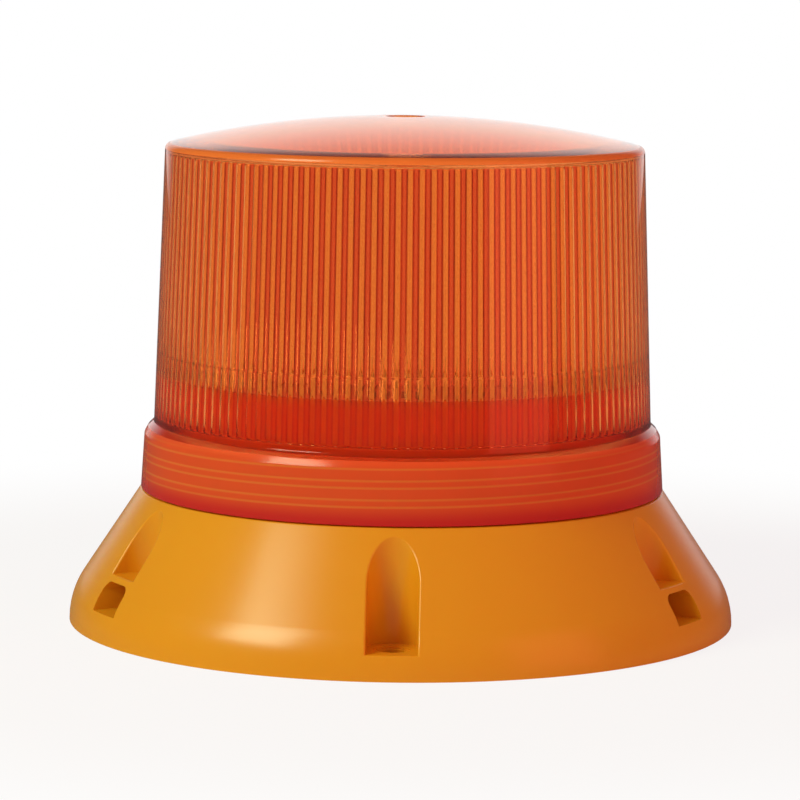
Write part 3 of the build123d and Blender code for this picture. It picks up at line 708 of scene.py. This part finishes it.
# Opaque finishes: two close colours in a coarse noise, and relief from a fine one
CLOUD_LOW = 0.3
CLOUD_HIGH = 0.7
RELIEF = 0.01 * MM
GRAIN_DETAIL = 2.0
YELLOW_CLOUDS = 14.0
YELLOW_GRAIN = 1800.0
YELLOW_RELIEF = 0.35
YELLOW_PALE = (0.84, 0.36, 0.013)
YELLOW_DEEP = (0.81, 0.34, 0.010)
PLAIN_CLOUDS = 60.0
PLAIN_GRAIN = 900.0
PLAIN_RELIEF = 0.4


def clouded(tree, shader, scale, colour, other):
    """Base colour that drifts between two colours."""
    tint = ramp(tree, noise(tree, scale), [(CLOUD_LOW, colour), (CLOUD_HIGH, other)])
    tree.links.new(tint, shader.inputs["Base Color"])


def yellow_plastic():
    """Yellow-orange moulding with some light under its skin and a fine grain."""
    material, shader = principled(
        "base_yellow",
        Roughness=0.25,
        IOR=1.5,
        Specular_IOR_Level=0.5,
        Subsurface_Weight=0.15,
        Subsurface_Radius=(1.0, 0.35, 0.08),
        Subsurface_Scale=1.2 * MM,
    )
    tree = material.node_tree
    clouded(tree, shader, YELLOW_CLOUDS, YELLOW_DEEP, YELLOW_PALE)
    bump(tree, shader, noise(tree, YELLOW_GRAIN, GRAIN_DETAIL), RELIEF, YELLOW_RELIEF)
    return material


def plain(name, colour, other, roughness, metallic):
    """A finish with two close colours and a fine grain."""
    material, shader = principled(name, Roughness=roughness, Metallic=metallic)
    tree = material.node_tree
    clouded(tree, shader, PLAIN_CLOUDS, colour, other)
    bump(tree, shader, noise(tree, PLAIN_GRAIN, GRAIN_DETAIL), RELIEF, PLAIN_RELIEF)
    return material


def dress(names, material):
    """Give CAD nodes a material."""
    for name in names:
        data = nodes[name].data
        data.materials.clear()
        data.materials.append(material)


# Plain finishes: name, two colours, roughness, share of metal, and the nodes that wear them
FINISHES = [
    ("rubber", (0.02, 0.02, 0.021), (0.035, 0.034, 0.034), 0.6, 0.0, ["cable_grommet"]),
    ("seal_silicone", (0.62, 0.20, 0.03), (0.68, 0.23, 0.04), 0.5, 0.0, ["lens_seal"]),
    ("aluminium", (0.84, 0.85, 0.86), (0.9, 0.91, 0.92), 0.45, 1.0, ["heat_spreader"]),
    ("white_board", (0.85, 0.85, 0.83), (0.9, 0.9, 0.88), 0.4, 0.0, ["led_board"]),
    ("green_board", (0.02, 0.16, 0.07), (0.025, 0.2, 0.09), 0.4, 0.0, ["driver_board"]),
    ("led_yellow", (0.85, 0.55, 0.08), (0.9, 0.6, 0.1), 0.3, 0.0, ["led_packages"]),
    ("optic_clear", (0.9, 0.9, 0.9), (0.95, 0.95, 0.95), 0.05, 0.0, ["led_optics"]),
    ("screw_steel", (0.55, 0.55, 0.53), (0.65, 0.65, 0.63), 0.3, 1.0, [
        "base_plate_screws",
        "cable_clamp_screws",
        "light_engine_screws",
        "driver_screws",
        "terminal_screws",
    ]),
    ("can_sleeve", (0.02, 0.03, 0.08), (0.03, 0.04, 0.1), 0.35, 0.0, ["smoothing_capacitors"]),
    ("ferrite", (0.05, 0.05, 0.05), (0.08, 0.08, 0.08), 0.7, 0.0, ["power_inductor"]),
    ("chip_black", (0.02, 0.02, 0.02), (0.03, 0.03, 0.03), 0.5, 0.0, [
        "controller_chip", "switching_transistors",
    ]),
    ("header_black", (0.015, 0.015, 0.015), (0.02, 0.02, 0.02), 0.4, 0.0, [
        "stacking_header", "header_socket",
    ]),
    ("terminal_green", (0.02, 0.22, 0.1), (0.03, 0.26, 0.12), 0.4, 0.0, ["terminal_block"]),
    ("plate_black", (0.03, 0.03, 0.032), (0.045, 0.045, 0.047), 0.5, 0.0, ["base_plate", "cable_clamp"]),
    ("gasket_foam", (0.04, 0.04, 0.04), (0.06, 0.06, 0.06), 0.9, 0.0, [
        "mounting_gasket", "base_plate_gasket",
    ]),
]

make_camera()
make_world()
make_floor()
make_lamp("key", *KEY_LAMP)
make_lamp("fill", *FILL_LAMP)

yellow = yellow_plastic()
collar_amber = amber_thick("amber_collar", COLLAR_CLEAR)
make_lens(amber_glass(), collar_amber, amber_thick("amber_rim", RIM_CLEAR))
make_thread("neck_thread", "base", NECK_THREAD_R, True, NECK_THREAD_Z, yellow)
make_thread("collar_thread", "lens", COLLAR_BORE_R, False, COLLAR_THREAD_Z, collar_amber)

dress(["base_housing"], yellow)
for name, colour, other, roughness, metallic, wearers in FINISHES:
    dress(wearers, plain(name, colour, other, roughness, metallic))

LIGHT_BOUNCES = 24
scene = bpy.context.scene
scene.view_settings.view_transform = "Standard"
scene.cycles.use_denoising = True
scene.cycles.max_bounces = LIGHT_BOUNCES
scene.cycles.transmission_bounces = LIGHT_BOUNCES
scene.cycles.glossy_bounces = LIGHT_BOUNCES
